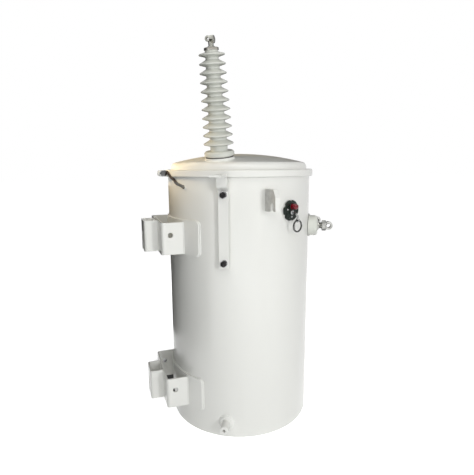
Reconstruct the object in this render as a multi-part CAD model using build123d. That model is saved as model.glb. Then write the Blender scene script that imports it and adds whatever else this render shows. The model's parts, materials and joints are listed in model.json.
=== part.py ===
from build123d import *
import os
from math import atan2, cos, degrees, radians, sin, sqrt

# Single-phase, oil-filled distribution transformer that hangs on a pole.
# Millimetres. +Z is up, the origin is on the tank's axis at its base, -X is the side
# that faces the pole, and +X is the low-voltage side. Azimuths are in degrees,
# counter-clockwise from +X seen from above.

# ---------------------------------------------------------------- tank and cover
TANK_R = 276.0             # outside of the tank wall
WALL = 4.0                 # tank wall and cover sheet
BASE_T = 6.0               # bottom plate
RIM_Z = 957.0              # top face of the tank's turned-out rim
RIM_R = 282.0              # rim, gasket and cover flange all end here
GASKET_T = 6.0

DOME_TOP = 1032.5          # highest point of the cover's sheet
DOME_R = 974.0             # the cover is a cap of a sphere of this radius
SKIRT_R = 264.0            # straight side of the cover above its flange
SHOULDER_FILLET = 20.0

BAND_R = 287.5             # outside of the clamp ring
BAND_LOW = 948.5
BAND_HIGH = 974.0
BAND_T = 2.6
BAND_CORNER = 5.0
SEAT_LOW = BAND_LOW + BAND_T    # the ring grips from the rim's underside
SEAT_HIGH = BAND_HIGH - BAND_T  # up to the top of the cover's hemmed flange
BAND_MIDDLE = (BAND_LOW + BAND_HIGH) / 2
BAND_GAP = 36.0            # opening between the clamp ring's two ears
EAR_T = 5.0
EAR_FACE = BAND_GAP / 2 + EAR_T
EAR_REACH = 28.0
EAR_HEIGHT = 22.0
CLAMP_BOLT_R = 6.0
CLAMP_BOLT_AT = 300.0      # distance of the closing bolt from the tank's axis
CLAMP_FLATS = 22.0
CLAMP_HEAD = 10.0
CLAMP_END = 16.0           # thread left showing past the nut's seat

STRAP_T = 2.5
STRAP_W = 13.0
STRAP_OFF = 1.5            # gap between the strap and the wall
STRAP_TAB_R = 10.0
STRAP_END_AZIMUTH = -152.7
STRAP_END_Z = 915.0
STRAP_TOP_Z = 940.5
STRAP_BOSS_R = 7.0

# ---------------------------------------------------------------- core, winding and oil
CORE_W = 200.0             # one wound core loop, over its two legs
CORE_H = 400.0
CORE_LEG = 70.0
CORE_STACK = 150.0         # depth of the wound strip
CORE_CORNER = 22.0
CORE_FOOT_Z = 46.0         # height of the core's underside
WINDING_H = 250.0
WINDING_WALL = 52.0        # radial build of the low and high windings together
WINDING_CORNER = 26.0
CORE_PLAY = 3.0            # insulation gap between the winding and the core
BEARER_W = 50.0
BEARER_LENGTH = 260.0
BEARER_AT = 130.0
OIL_LEVEL = 880.0

# ---------------------------------------------------------------- pole brackets
LUG_SPACING = 590.0        # height between the two pole brackets' bolt centres
LOWER_LUG_Z = 156.5
BRACKET_T = 6.0
PAD_T = 6.0
PAD_HALF_ANGLE = 41.7
PAD_BELOW = 73.0
PAD_ABOVE = 54.0
PAD_CORNER = 16.0
CHANNEL_BELOW = 69.5
CHANNEL_ABOVE = 45.0
CHANNEL_HALF = 128.0       # half the width over the two arms
CHANNEL_FACE = 331.5       # distance of the channel's web from the axis
CHANNEL_ROOT = 150.0       # the arms are drawn from here and trimmed by the pad
CHANNEL_BEND = 12.0
ARM_HOLE_AT = 299.0
ARM_HOLE_R = 9.5
NOSE_HALF = 44.0
NOSE_FACE = 381.0          # the face that bears on the pole
NOSE_BEND = 10.0
SLOT_R = 10.5              # half the width of the open bolt slot
SLOT_TOP = 4.0             # its round end, above the lug's bolt centre

# ---------------------------------------------------------------- high-voltage bushing
HV_AZIMUTH = -128.3
HV_REACH = 198.0           # distance of the bushing's foot from the axis
HV_LEAN = 10.0             # degrees outwards
HV_FOOT_Z = 1021.0         # centre of the joint between gasket and porcelain
HV_BOSS_R = 50.0
HV_GASKET_T = 3.0
HV_GASKET_R = 48.5
HV_COLLAR_R = 52.0
HV_COLLAR_H = 18.0
SHED_COUNT = 11
SHED_FIRST = 43.0          # height of the lowest shed's tip above the foot
SHED_PITCH = 28.1
SHED_R_LOW = 51.5
SHED_R_HIGH = 42.5
SHED_RISE = 12.0           # from a shed's lip up to its root on the core
SHED_DROP = 7.5            # from a shed's lip down to the foot of its underside
CORE_R_LOW = 30.0
CORE_R_HIGH = 21.5
SHED_TIP_R = 3.0
HV_NECK_R = 21.5           # plain neck between the top shed and the cap
HV_NECK_Z = 331.0
HV_TOP = 337.0
CAP_R = 24.0
CAP_H = 8.0
HV_STEM_R = 8.7
HV_EYE_Z = 368.5           # along the bushing's axis
HV_EYE_R = 12.0
HV_EYE_HOLE_R = 5.5
HV_EYE_T = 12.0
HV_EYE_OFF = 8.5           # the eye sits to one side of the stem, its nut to the other
HV_NUT_FLATS = 22.0
HV_NUT = (-1.5, 13.5)      # the nut's two ends, across the stem

# ---------------------------------------------------------------- low-voltage bushings
LV_Z = 755.0
LV_ANGLES = (-27.0, 0.0, 27.0)
LV_FLANGE_R = 42.5
LV_BODY_R = 39.5
LV_REACH = 35.0
LV_STEM_R = 12.5
LV_NUT = (328.0, 345.0)    # the nut's two faces, from the tank's axis
LV_NUT_FLATS = 36.0
LV_EYE_AT = 354.0
LV_EYE_R = 16.0
LV_EYE_HOLE_R = 7.5
LV_EYE_T = 20.0

# ---------------------------------------------------------------- arrester bar and ground boss
BAR_AZIMUTH = -118.9
BAR_W = 35.0
BAR_T = 6.4
BAR_BACK = 288.0           # face towards the tank, from the axis
BAR_LOW = 641.0
BAR_JOG_Z = 907.0
BAR_JOG_OUT = 23.0
BAR_JOG_RISE = 14.0
BAR_SHELF_Z = 953.0        # underside of the arrester shelf
BAR_END = 411.0
BAR_BEND = 9.0             # radius of the bar's middle line in its bends
BAR_BOLTS_Z = (661.0, 892.5)
BAR_BOSS_R = 14.0
ARRESTER_HOLE_R = 7.0
ARRESTER_HOLE_AT = 389.0

BOSS_Z = 56.0
BOSS_COLLAR_R = 28.0
BOSS_COLLAR_H = 6.0
BOSS_R = 16.0
BOSS_REACH = 50.0
BOSS_THREAD_R = 5.5
BOSS_THREAD_DEPTH = 22.0

# ---------------------------------------------------------------- lifting lugs
LIFT_AZIMUTHS = (-88.9, 88.9)
LIFT_T = 15.0
LIFT_OUT = 361.0
LIFT_TOP = 911.0
LIFT_FOOT = 834.5
LIFT_CORNER = (18.0, 24.0)
LIFT_HEEL = (37.0, 4.0)    # where the underside starts to rise, from the outer edge and the foot
LIFT_TIP = (17.0, 7.0)
NOTCH_R = 10.0
NOTCH_AT = 334.0
NOTCH_Z = 858.0

# ---------------------------------------------------------------- breaker fitting
BREAKER_AZIMUTH = -68.5
BREAKER_Z = 832.5
BREAKER_BASE_R = 29.0
BREAKER_R = 36.5
BREAKER_BACK = 279.0       # back face of the breaker's plate, from the axis
BREAKER_FRONT = 285.0
SCALLOPS = 6
SCALLOP_R = 8.0
SCALLOP_OUT = 4.0          # centre of each scallop, outside the plate's edge
LENS_R = 10.0
LENS_STRAIGHT = 15.0
LENS_UP = 14.5
BEZEL_R = 12.5
BEZEL_H = 2.0
HUB_R = 8.0
HUB_H = 5.0
HUB_DOWN = 7.0
LEVER_T = 4.0
LEVER_W = 9.0
RING_AT = 312.5            # distance of the pull ring's plane from the axis
RING_TOP = 801.5           # height of the wire's centre in the lever's eye
RING_R = 20.4
RING_WIRE = 2.4
EYE_R = 4.2
EYE_OUTER_R = 8.0
PARTS = {}


# ---------------------------------------------------------------- helpers
def at_wall(azimuth, height, distance=0.0):
    """Frame on the tank's side: local X runs round the tank, Y is up, Z points out."""
    out = Vector(cos(radians(azimuth)), sin(radians(azimuth)), 0)
    round_tank = Vector(-sin(radians(azimuth)), cos(radians(azimuth)), 0)
    origin = out * distance + Vector(0, 0, height)
    return Plane(origin=origin, x_dir=round_tank, z_dir=out)


def rod(radius, start, end):
    """Cylinder along local Z from start to end."""
    return Pos(0, 0, start) * Cylinder(radius, end - start, align=(Align.CENTER, Align.CENTER, Align.MIN))


def turned(points):
    """Solid of revolution about local Z from (radius, height) points."""
    return revolve(Plane.XZ * make_face(Polyline(*points, close=True)), Axis.Z)


def hexagon(flats, start, end):
    """Hexagonal prism along local Z, by its width across flats."""
    return Pos(0, 0, start) * extrude(RegularPolygon(flats / 2, 6, major_radius=False), end - start)


def block(low, high, length, width):
    """Upright block centred on Z, from low to high."""
    return Pos(0, 0, (low + high) / 2) * Box(length, width, high - low)


TANK_SOLID = rod(TANK_R, -10, SEAT_LOW - 2)


def on_wall(shape, azimuth, height):
    """Place a fitting on the wall and trim it to the tank's round face."""
    return (at_wall(azimuth, height) * shape) - TANK_SOLID


# ---------------------------------------------------------------- tank and cover
def tank():
    inner = TANK_R - WALL
    wall = [(inner, 0), (TANK_R, 0), (TANK_R, SEAT_LOW), (RIM_R, SEAT_LOW)]
    rim = [(RIM_R, RIM_Z), (inner, RIM_Z)]
    PARTS["tank_shell"] = turned(wall + rim)
    PARTS["tank_bottom"] = rod(inner, 0, BASE_T)


def cap_solid(skirt, top, sphere, fillet_r, low):
    """The space under a domed cover: a cap of a sphere on a straight skirt."""
    centre = top - sphere
    edge = centre + sqrt(sphere ** 2 - skirt ** 2)
    halfway = centre + sqrt(sphere ** 2 - (skirt / 2) ** 2)
    outline = Polyline((0, top), (0, low), (skirt, low), (skirt, edge))
    outline += ThreePointArc((skirt, edge), (skirt / 2, halfway), (0, top))
    profile = make_face(outline)
    shoulder = profile.vertices().sort_by(Axis.X)[-2:].sort_by(Axis.Y)[-1]
    return revolve(Plane.XZ * fillet(shoulder, fillet_r), Axis.Z)


def cover():
    flange_low = RIM_Z + GASKET_T
    inside = SKIRT_R - WALL
    PARTS["cover_gasket"] = rod(RIM_R - 1, RIM_Z, flange_low) - rod(inside, RIM_Z, flange_low)
    outer = cap_solid(SKIRT_R, DOME_TOP, DOME_R, SHOULDER_FILLET, flange_low)
    inner = cap_solid(inside, DOME_TOP - WALL, DOME_R - WALL, SHOULDER_FILLET - WALL, flange_low - 1)
    flange = rod(RIM_R, flange_low, SEAT_HIGH) - rod(inside, flange_low, SEAT_HIGH)
    PARTS["cover"] = (outer - inner) + flange


def clamp_ring():
    """Channel-section ring that grips rim and flange, closed by a bolt through two ears."""
    inside = BAND_R - BAND_T
    lip_low, lip_high = TANK_R + STRAP_OFF, SKIRT_R + STRAP_OFF
    outline = make_face(Polyline(
        (lip_low, BAND_LOW), (BAND_R, BAND_LOW), (BAND_R, BAND_HIGH), (lip_high, BAND_HIGH),
        (lip_high, SEAT_HIGH), (inside, SEAT_HIGH), (inside, SEAT_LOW), (lip_low, SEAT_LOW), close=True))
    outer_corners = outline.vertices().filter_by(lambda v: abs(v.X - BAND_R) < 0.01)
    outline = fillet(outer_corners, BAND_CORNER)
    inner_corners = outline.vertices().filter_by(lambda v: abs(v.X - inside) < 0.01)
    outline = fillet(inner_corners, BAND_CORNER - BAND_T)
    ring = revolve(Plane.XZ * outline, Axis.Z)
    ring -= Pos(-BAND_R, 0, BAND_MIDDLE) * Box(80, BAND_GAP, 60)

    ear_root = sqrt(BAND_R ** 2 - EAR_FACE ** 2) - 1
    ear_length = BAND_R + EAR_REACH - ear_root
    blank = Pos(-ear_root - ear_length / 2, 0) * Rectangle(ear_length, EAR_HEIGHT)
    blank = fillet(blank.vertices().sort_by(Axis.X)[:2], 8)
    blank -= Pos(-CLAMP_BOLT_AT, 0) * Circle(CLAMP_BOLT_R + 0.5)
    ear = extrude(Plane.XZ * blank, EAR_T / 2, both=True)
    for side in (-1, 1):
        ring += Pos(0, side * (EAR_FACE - EAR_T / 2), BAND_MIDDLE) * ear
    PARTS["cover_clamp_ring"] = ring

    head_seat = EAR_FACE + STRAP_T
    bolt = rod(CLAMP_BOLT_R, -EAR_FACE - CLAMP_END, head_seat)
    bolt += hexagon(CLAMP_FLATS, head_seat, head_seat + CLAMP_HEAD)
    bolt += hexagon(CLAMP_FLATS, -EAR_FACE - CLAMP_HEAD, -EAR_FACE)
    through_ears = Plane(origin=(-CLAMP_BOLT_AT, 0, BAND_MIDDLE), x_dir=(0, 0, 1), z_dir=(0, -1, 0))
    PARTS["clamp_bolt"] = through_ears * bolt


def ground_strap():
    """Flat strap that bonds the cover's ring to the tank: a tab under the clamp bolt's
    head, a leg that bends in under the ring, and a strip that slants down the wall."""
    inner = TANK_R + STRAP_OFF
    outer = inner + STRAP_T
    leg = FilletPolyline(
        (-CLAMP_BOLT_AT, BAND_MIDDLE), (-BAND_R - 5, STRAP_TOP_Z + 3), (-inner, STRAP_TOP_Z), radius=8)
    tab = Pos(-CLAMP_BOLT_AT, BAND_MIDDLE) * Circle(STRAP_TAB_R) + trace(leg, STRAP_W)
    tab -= Pos(-CLAMP_BOLT_AT, BAND_MIDDLE) * Circle(CLAMP_BOLT_R + 0.1)
    tab = Pos(0, -EAR_FACE, 0) * extrude(Plane.XZ * tab, STRAP_T)

    start = degrees(atan2(-EAR_FACE, -outer))
    chord = 2 * outer * sin(radians(STRAP_END_AZIMUTH - start) / 2)
    drop = STRAP_TOP_Z - STRAP_END_Z
    slant = Rot(0, 0, -degrees(atan2(drop, chord))) * Box(sqrt(chord ** 2 + drop ** 2), STRAP_W, 60)
    middle = at_wall((start + STRAP_END_AZIMUTH) / 2, (STRAP_TOP_Z + STRAP_END_Z) / 2, outer)
    end = at_wall(STRAP_END_AZIMUTH, STRAP_END_Z) * rod(STRAP_TAB_R - 1, inner - 10, outer + 5)
    shell = rod(outer, LIFT_FOOT, BAND_LOW - 0.5) - rod(inner, LIFT_FOOT, BAND_LOW - 0.5)
    PARTS["cover_ground_strap"] = tab + (middle * slant & shell) + (end & shell)
    boss = on_wall(rod(STRAP_BOSS_R, inner - 10, outer), STRAP_END_AZIMUTH, STRAP_END_Z)
    PARTS["strap_boss"] = boss & rod(inner, LIFT_FOOT, BAND_LOW)


# ---------------------------------------------------------------- inside the tank
def core_and_winding():
    """Two wound core loops side by side, whose inner legs share one winding, on two bearers."""
    window = Rectangle(CORE_W - 2 * CORE_LEG, CORE_H - 2 * CORE_LEG)
    strip_wound = Plane.XZ * (RectangleRounded(CORE_W, CORE_H, CORE_CORNER) - window)
    loop = extrude(strip_wound, CORE_STACK / 2, both=True)
    middle = CORE_FOOT_Z + CORE_H / 2
    bore_x, bore_y = 2 * (CORE_LEG + CORE_PLAY), CORE_STACK + 2 * CORE_PLAY
    plan = RectangleRounded(bore_x + 2 * WINDING_WALL, bore_y + 2 * WINDING_WALL, WINDING_CORNER)
    plan -= Rectangle(bore_x, bore_y)
    winding = Pos(0, 0, middle) * extrude(plan, WINDING_H / 2, both=True)
    for number, side in enumerate((-1, 1), 1):
        PARTS[f"core_loop_{number}"] = Pos(side * CORE_W / 2, 0, middle) * loop
        bearer = block(BASE_T, CORE_FOOT_Z, BEARER_W, BEARER_LENGTH)
        PARTS[f"core_bearer_{number}"] = Pos(side * BEARER_AT, 0, 0) * bearer
    PARTS["winding"] = winding

    oil = rod(TANK_R - WALL, BASE_T, OIL_LEVEL) - winding
    for number in (1, 2):
        oil = oil - PARTS[f"core_loop_{number}"] - PARTS[f"core_bearer_{number}"]
    PARTS["oil"] = oil


# ---------------------------------------------------------------- pole brackets
def bent_section(face, half, root, bend):
    """Plan of a U-shaped plate whose web is at -face and whose legs run back to -root."""
    outer = Pos(-(face + root) / 2, 0) * Rectangle(face - root, 2 * half)
    outer = fillet(outer.vertices().sort_by(Axis.X)[:2], bend)
    web_in = face - BRACKET_T
    inner = Pos(-(web_in + root - 1) / 2, 0) * Rectangle(web_in - root + 1, 2 * (half - BRACKET_T))
    inner = fillet(inner.vertices().sort_by(Axis.X)[:2], bend - BRACKET_T)
    return outer - inner


def pole_bracket(name, lug_z):
    """Curved pad on the tank, a channel welded to it, and the slotted nose for the pole's bolt."""
    low, high = lug_z - CHANNEL_BELOW, lug_z + CHANNEL_ABOVE
    wide = 2 * (TANK_R + PAD_T / 2) * sin(radians(PAD_HALF_ANGLE))
    pad_plan = RectangleRounded(wide, PAD_BELOW + PAD_ABOVE, PAD_CORNER)
    pad_middle = (0, 0, lug_z + (PAD_ABOVE - PAD_BELOW) / 2)
    towards_pole = Plane(origin=pad_middle, x_dir=(0, 1, 0), z_dir=(-1, 0, 0))
    pad = extrude(towards_pole * pad_plan, TANK_R + 2 * PAD_T)
    pad_outside = rod(TANK_R + PAD_T, low - 2 * PAD_T, high + 2 * PAD_T)
    PARTS[name + "_pad"] = (pad & pad_outside) - TANK_SOLID

    section = bent_section(CHANNEL_FACE, CHANNEL_HALF, CHANNEL_ROOT, CHANNEL_BEND)
    channel = extrude(Pos(0, 0, low) * section, high - low)
    holes = Plane(origin=(-ARM_HOLE_AT, 0, lug_z), z_dir=(0, 1, 0)) * Cylinder(ARM_HOLE_R, 3 * CHANNEL_HALF)
    PARTS[name + "_channel"] = channel - pad_outside - holes

    section = bent_section(NOSE_FACE, NOSE_HALF, CHANNEL_FACE, NOSE_BEND)
    nose = extrude(Pos(0, 0, low) * section, high - low)
    round_end = SLOT_TOP - SLOT_R
    slot_low = -CHANNEL_BELOW - 5
    slot = Pos(0, round_end) * Circle(SLOT_R)
    slot += Pos(0, (round_end + slot_low) / 2) * Rectangle(2 * SLOT_R, round_end - slot_low)
    pole_side = Plane(origin=(-NOSE_FACE - 5, 0, lug_z), x_dir=(0, 1, 0), z_dir=(1, 0, 0))
    PARTS[name + "_nose"] = nose - extrude(pole_side * slot, BRACKET_T + 10)


# ---------------------------------------------------------------- high-voltage bushing
def hv_frame():
    """Frame on the bushing's foot: Z runs up its leaning axis, X sideways round the tank."""
    out = Vector(cos(radians(HV_AZIMUTH)), sin(radians(HV_AZIMUTH)), 0)
    sideways = Vector(-sin(radians(HV_AZIMUTH)), cos(radians(HV_AZIMUTH)), 0)
    axis = out * sin(radians(HV_LEAN)) + Vector(0, 0, cos(radians(HV_LEAN)))
    return Plane(origin=out * HV_REACH + Vector(0, 0, HV_FOOT_Z), x_dir=sideways, z_dir=axis)


def porcelain():
    """Collar, tapering core and sheds, as one turned profile. Each shed is a blade that
    thins from its root on the core to a rounded lip, with a shallower slope below than above."""
    corners = [
        (0, 0), (HV_COLLAR_R - 4, 0), (HV_COLLAR_R, 4), (HV_COLLAR_R, HV_COLLAR_H - 5),
        (HV_COLLAR_R - 5, HV_COLLAR_H)]
    outline = Polyline(*corners)
    here = corners[-1]
    for i in range(SHED_COUNT):
        part = i / (SHED_COUNT - 1)
        tip_z = SHED_FIRST + i * SHED_PITCH
        tip = SHED_R_LOW + (SHED_R_HIGH - SHED_R_LOW) * part
        core = CORE_R_LOW + (CORE_R_HIGH - CORE_R_LOW) * part
        under = (tip - SHED_TIP_R * 0.65, tip_z - SHED_TIP_R * 0.93)
        over = (tip - SHED_TIP_R * 0.55, tip_z + SHED_TIP_R * 0.89)
        foot = (core + 2.5, tip_z - SHED_DROP)
        outline += Polyline(here, (core, here[1] + 1.6), (core, foot[1] - 1.6), foot, under)
        outline += ThreePointArc(under, (tip, tip_z), over)
        here = (core + 1.5, min(tip_z + SHED_RISE, HV_NECK_Z))
        outline += Line(over, here)
    outline += Polyline(here, (HV_NECK_R, HV_NECK_Z + 1), (HV_NECK_R, HV_TOP), (0, HV_TOP), (0, 0))
    return revolve(Plane.XZ * make_face(outline), Axis.Z)


def hv_bushing():
    foot = hv_frame()
    dome = Pos(0, 0, DOME_TOP - DOME_R) * Sphere(DOME_R)
    PARTS["hv_boss"] = foot * rod(HV_BOSS_R, -40, -HV_GASKET_T) - dome
    PARTS["hv_gasket"] = foot * rod(HV_GASKET_R, -HV_GASKET_T, 0)
    PARTS["hv_bushing"] = foot * porcelain()
    cap = rod(CAP_R, HV_TOP, HV_TOP + CAP_H)
    PARTS["hv_cap"] = foot * chamfer(cap.edges().group_by(Axis.Z)[-1], 2)

    across = Pos(0, 0, HV_EYE_Z) * Rot(0, 90, 0)
    eye = Pos(-HV_EYE_OFF, 0, HV_EYE_Z) * Rot(90, 0, 0)
    stem = rod(HV_STEM_R, HV_TOP + CAP_H, HV_EYE_Z - HV_EYE_HOLE_R - 1)
    terminal = stem + across * hexagon(HV_NUT_FLATS, *HV_NUT) + eye * Cylinder(HV_EYE_R, HV_EYE_T)
    PARTS["hv_terminal"] = foot * (terminal - eye * Cylinder(HV_EYE_HOLE_R, 3 * HV_EYE_T))


# ---------------------------------------------------------------- fittings on the wall
def lv_bushings():
    end = TANK_R + LV_REACH
    body = turned([
        (0, 0), (LV_FLANGE_R, 0), (LV_FLANGE_R, TANK_R + 6), (LV_BODY_R, TANK_R + 6), (LV_BODY_R, end - 9),
        (LV_BODY_R - 3, end - 2), (LV_BODY_R - 8, end), (LV_STEM_R + 5, end + 3), (0, end + 3)])
    eye = Pos(0, 0, LV_EYE_AT) * Rot(0, 90, 0)
    terminal = rod(LV_STEM_R, end + 3, LV_NUT[1]) + hexagon(LV_NUT_FLATS, *LV_NUT)
    terminal += eye * Cylinder(LV_EYE_R, LV_EYE_T)
    terminal -= eye * Cylinder(LV_EYE_HOLE_R, 2 * LV_NUT_FLATS)
    for number, azimuth in enumerate(LV_ANGLES, 1):
        PARTS[f"lv_bushing_{number}"] = on_wall(body, azimuth, LV_Z)
        PARTS[f"lv_terminal_{number}"] = at_wall(azimuth, LV_Z) * terminal


def arrester_bracket():
    """One bent bar on two bosses: up the wall, a joggle out past the clamp ring, and a shelf
    whose hole takes a surge arrester's foot."""
    low_line = BAR_BACK + BAR_T / 2
    high_line = low_line + BAR_JOG_OUT
    shelf_line = BAR_SHELF_Z + BAR_T / 2
    middle = FilletPolyline(
        (low_line, BAR_LOW), (low_line, BAR_JOG_Z), (high_line, BAR_JOG_Z + BAR_JOG_RISE),
        (high_line, shelf_line), (BAR_END, shelf_line), radius=BAR_BEND)
    bar = extrude(Plane.XZ * trace(middle, BAR_T), BAR_W / 2, both=True)
    bar -= Pos(ARRESTER_HOLE_AT, 0, shelf_line) * Cylinder(ARRESTER_HOLE_R, 3 * BAR_T)
    PARTS["arrester_bracket"] = Rot(0, 0, BAR_AZIMUTH) * bar
    boss = rod(BAR_BOSS_R, TANK_R - 10, BAR_BACK)
    for name, height in zip(("lower", "upper"), BAR_BOLTS_Z):
        PARTS[f"arrester_boss_{name}"] = on_wall(boss, BAR_AZIMUTH, height)


def lifting_lugs():
    """Plate hooks: a sling's eye seats in the notch that opens downwards."""
    root = TANK_R - 10
    outline = make_face(Polyline(
        (root, LIFT_TOP), (LIFT_OUT - LIFT_CORNER[0], LIFT_TOP), (LIFT_OUT, LIFT_TOP - LIFT_CORNER[1]),
        (LIFT_OUT, LIFT_FOOT + LIFT_TIP[1]), (LIFT_OUT - LIFT_TIP[0], LIFT_FOOT + LIFT_TIP[1]),
        (LIFT_OUT - LIFT_HEEL[0], LIFT_FOOT + LIFT_HEEL[1]), (root, LIFT_FOOT), close=True))
    notch = Pos(NOTCH_AT, NOTCH_Z) * Circle(NOTCH_R)
    notch += Pos(NOTCH_AT, NOTCH_Z - 2 * NOTCH_R) * Rectangle(2 * NOTCH_R, 4 * NOTCH_R)
    plate = extrude(Plane.XZ * (outline - notch), LIFT_T / 2, both=True)
    for name, azimuth in zip(("front", "back"), LIFT_AZIMUTHS):
        PARTS[f"lifting_lug_{name}"] = Rot(0, 0, azimuth) * plate - TANK_SOLID


def breaker():
    """Secondary breaker's fitting: scalloped plate, overload lens, and a handle with a
    hanging ring that a lineman's hook stick pulls."""
    wall = at_wall(BREAKER_AZIMUTH, BREAKER_Z)
    base = rod(BREAKER_BASE_R, TANK_R - 20, BREAKER_BACK)
    PARTS["breaker_base"] = on_wall(base, BREAKER_AZIMUTH, BREAKER_Z)
    plate = rod(BREAKER_R, BREAKER_BACK, BREAKER_FRONT)
    plate = chamfer(plate.edges().group_by(Axis.Z)[-1], 2)
    scallop = rod(SCALLOP_R, BREAKER_BACK - 1, BREAKER_FRONT + 1)
    for place in PolarLocations(BREAKER_R + SCALLOP_OUT, SCALLOPS, start_angle=30):
        plate -= place * scallop
    plate += Pos(0, LENS_UP, 0) * rod(BEZEL_R, BREAKER_FRONT - 1, BREAKER_FRONT + BEZEL_H)
    lens_foot = BREAKER_FRONT + BEZEL_H
    lens_end = lens_foot + LENS_STRAIGHT + LENS_R
    lens = rod(LENS_R, lens_foot, lens_end)
    lens = fillet(lens.edges().group_by(Axis.Z)[-1], LENS_R - 1)
    PARTS["breaker_plate"] = wall * plate
    PARTS["signal_lens"] = wall * (Pos(0, LENS_UP, 0) * lens)

    eye = (RING_AT, RING_TOP - BREAKER_Z)
    line = FilletPolyline((BREAKER_FRONT + 1, -HUB_DOWN), (RING_AT - 2, -HUB_DOWN - 4), eye, radius=8)
    arm = trace(line, LEVER_W) + Pos(*eye) * Circle(EYE_OUTER_R)
    arm -= Pos(*eye) * Circle(EYE_R)
    upright = Plane(origin=(0, 0, 0), x_dir=(0, 0, 1), z_dir=(-1, 0, 0))
    hub = Pos(0, -HUB_DOWN, 0) * rod(HUB_R, BREAKER_FRONT, BREAKER_FRONT + HUB_H)
    PARTS["breaker_lever"] = wall * (hub + extrude(upright * arm, LEVER_T / 2, both=True))
    PARTS["pull_ring"] = at_wall(BREAKER_AZIMUTH, RING_TOP - RING_R, RING_AT) * Torus(RING_R, RING_WIRE)


def ground_boss():
    """Round boss for the tank's ground connector, in a welded collar."""
    foot = TANK_R + BOSS_COLLAR_H
    end = TANK_R + BOSS_REACH
    boss = turned([
        (0, TANK_R - 12), (BOSS_COLLAR_R, TANK_R - 12), (BOSS_COLLAR_R, foot - 4), (BOSS_COLLAR_R - 5, foot),
        (BOSS_R + 3, foot), (BOSS_R, foot + 4), (BOSS_R, end - 2), (BOSS_R - 2, end), (0, end)])
    boss -= rod(BOSS_THREAD_R, end - BOSS_THREAD_DEPTH, end + 5)
    PARTS["ground_boss"] = on_wall(boss, BAR_AZIMUTH, BOSS_Z)


# ---------------------------------------------------------------- build and write
tank()
cover()
clamp_ring()
ground_strap()
core_and_winding()
pole_bracket("lower_bracket", LOWER_LUG_Z)
pole_bracket("upper_bracket", LOWER_LUG_Z + LUG_SPACING)
hv_bushing()
lv_bushings()
arrester_bracket()
lifting_lugs()
breaker()
ground_boss()

os.makedirs("parts", exist_ok=True)
for node, shape in PARTS.items():
    solids = shape.solids()
    export_step(solids[0] if len(solids) == 1 else Compound(children=list(solids)), f"parts/{node}.step")
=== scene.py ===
"""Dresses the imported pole-mounted transformer: paint, porcelain and metal for the CAD nodes, and the
fasteners, weld beads and fine fittings that the CAD leaves to this script. Metres, row frame."""
import json

import bmesh
import bpy
from math import ceil, cos, pi, radians, sin, sqrt, tan
from mathutils import Matrix, Vector, noise

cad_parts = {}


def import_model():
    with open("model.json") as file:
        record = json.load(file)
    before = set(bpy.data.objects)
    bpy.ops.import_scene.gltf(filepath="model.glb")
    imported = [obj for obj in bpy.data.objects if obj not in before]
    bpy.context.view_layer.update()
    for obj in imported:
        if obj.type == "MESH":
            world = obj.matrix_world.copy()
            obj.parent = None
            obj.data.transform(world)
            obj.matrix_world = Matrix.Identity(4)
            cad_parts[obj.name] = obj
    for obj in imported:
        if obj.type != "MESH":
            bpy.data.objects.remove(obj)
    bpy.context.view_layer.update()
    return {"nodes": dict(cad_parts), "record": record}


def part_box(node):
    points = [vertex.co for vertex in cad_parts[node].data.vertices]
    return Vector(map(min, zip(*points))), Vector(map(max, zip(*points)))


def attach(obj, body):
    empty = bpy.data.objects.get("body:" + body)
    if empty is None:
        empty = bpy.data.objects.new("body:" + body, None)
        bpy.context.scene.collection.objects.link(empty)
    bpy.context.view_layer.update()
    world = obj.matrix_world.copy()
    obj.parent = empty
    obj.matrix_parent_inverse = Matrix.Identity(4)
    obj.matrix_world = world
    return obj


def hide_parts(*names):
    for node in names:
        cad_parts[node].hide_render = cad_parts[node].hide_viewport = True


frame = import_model()
NODES = frame["nodes"]
BODY = "transformer"
RING_BODY = "pull_ring"

# ---------------------------------------------------------------- sizes, as in the part
TANK_R = 0.276
PAD_T = 0.006
PAD_HALF_ANGLE = 41.7
PAD_CORNER = 0.016
CHANNEL_HALF = 0.128
CHANNEL_FACE = 0.3315
NOSE_HALF = 0.044
ARM_T = 0.006
LIFT_HALF = 0.0075
LIFT_AZIMUTHS = (-88.9, 88.9)

HV_AZIMUTH = -128.3
HV_REACH = 0.198
HV_LEAN = 10.0
HV_FOOT_Z = 1.021
HV_BOSS_R = 0.050
HV_CAP_TOP = 0.345
HV_EYE_Z = 0.3685
HV_EYE_RISE = 0.0030
HV_EYE_R = 0.0092
HV_EYE_HOLE_R = 0.0042
HV_EYE_HALF = 0.006
HV_EYE_OFF = 0.0085
DOME_TOP = 1.0325
DOME_R = 0.974

BAR_AZIMUTH = -118.9
BAR_FACE = 0.2944
BAR_BOLTS_Z = (0.661, 0.8925)
BAR_BOSS_R = 0.014
BREAKER_AZIMUTH = -68.5
BREAKER_Z = 0.8325
BREAKER_FACE = 0.285
BREAKER_R = 0.0365
LENS_UP = 0.0145
LENS_R = 0.010
HUB_DOWN = 0.007
RING_AT = 0.3125
RING_TOP = 0.8015
BREAKER_BASE_R = 0.029
STRAP_END_AZIMUTH = -152.7
STRAP_END_Z = 0.915
STRAP_FACE = 0.280
GROUND_BOSS_Z = 0.056
GROUND_COLLAR_R = 0.028
LV_Z = 0.755
LV_ANGLES = (-27.0, 0.0, 27.0)
LV_FLANGE_R = 0.0425
LV_BODY_END = 0.314
LV_NUT = (0.328, 0.345)
LV_EYE_AT = 0.354

CLAMP_BOLT_R = 0.006
CLAMP_NUT_T = 0.010
CLAMP_EAR_Y = 0.023
STRAP_TOP_Y = -0.0243
STRAP_LIP_R = 0.2892
STRAP_WALL_R = STRAP_FACE - 0.00125

BEAD_R = 0.0026
BEAD_PITCH = 0.0042
BEAD_INSET = 0.002
RING_WIRE_R = 0.0030

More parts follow.
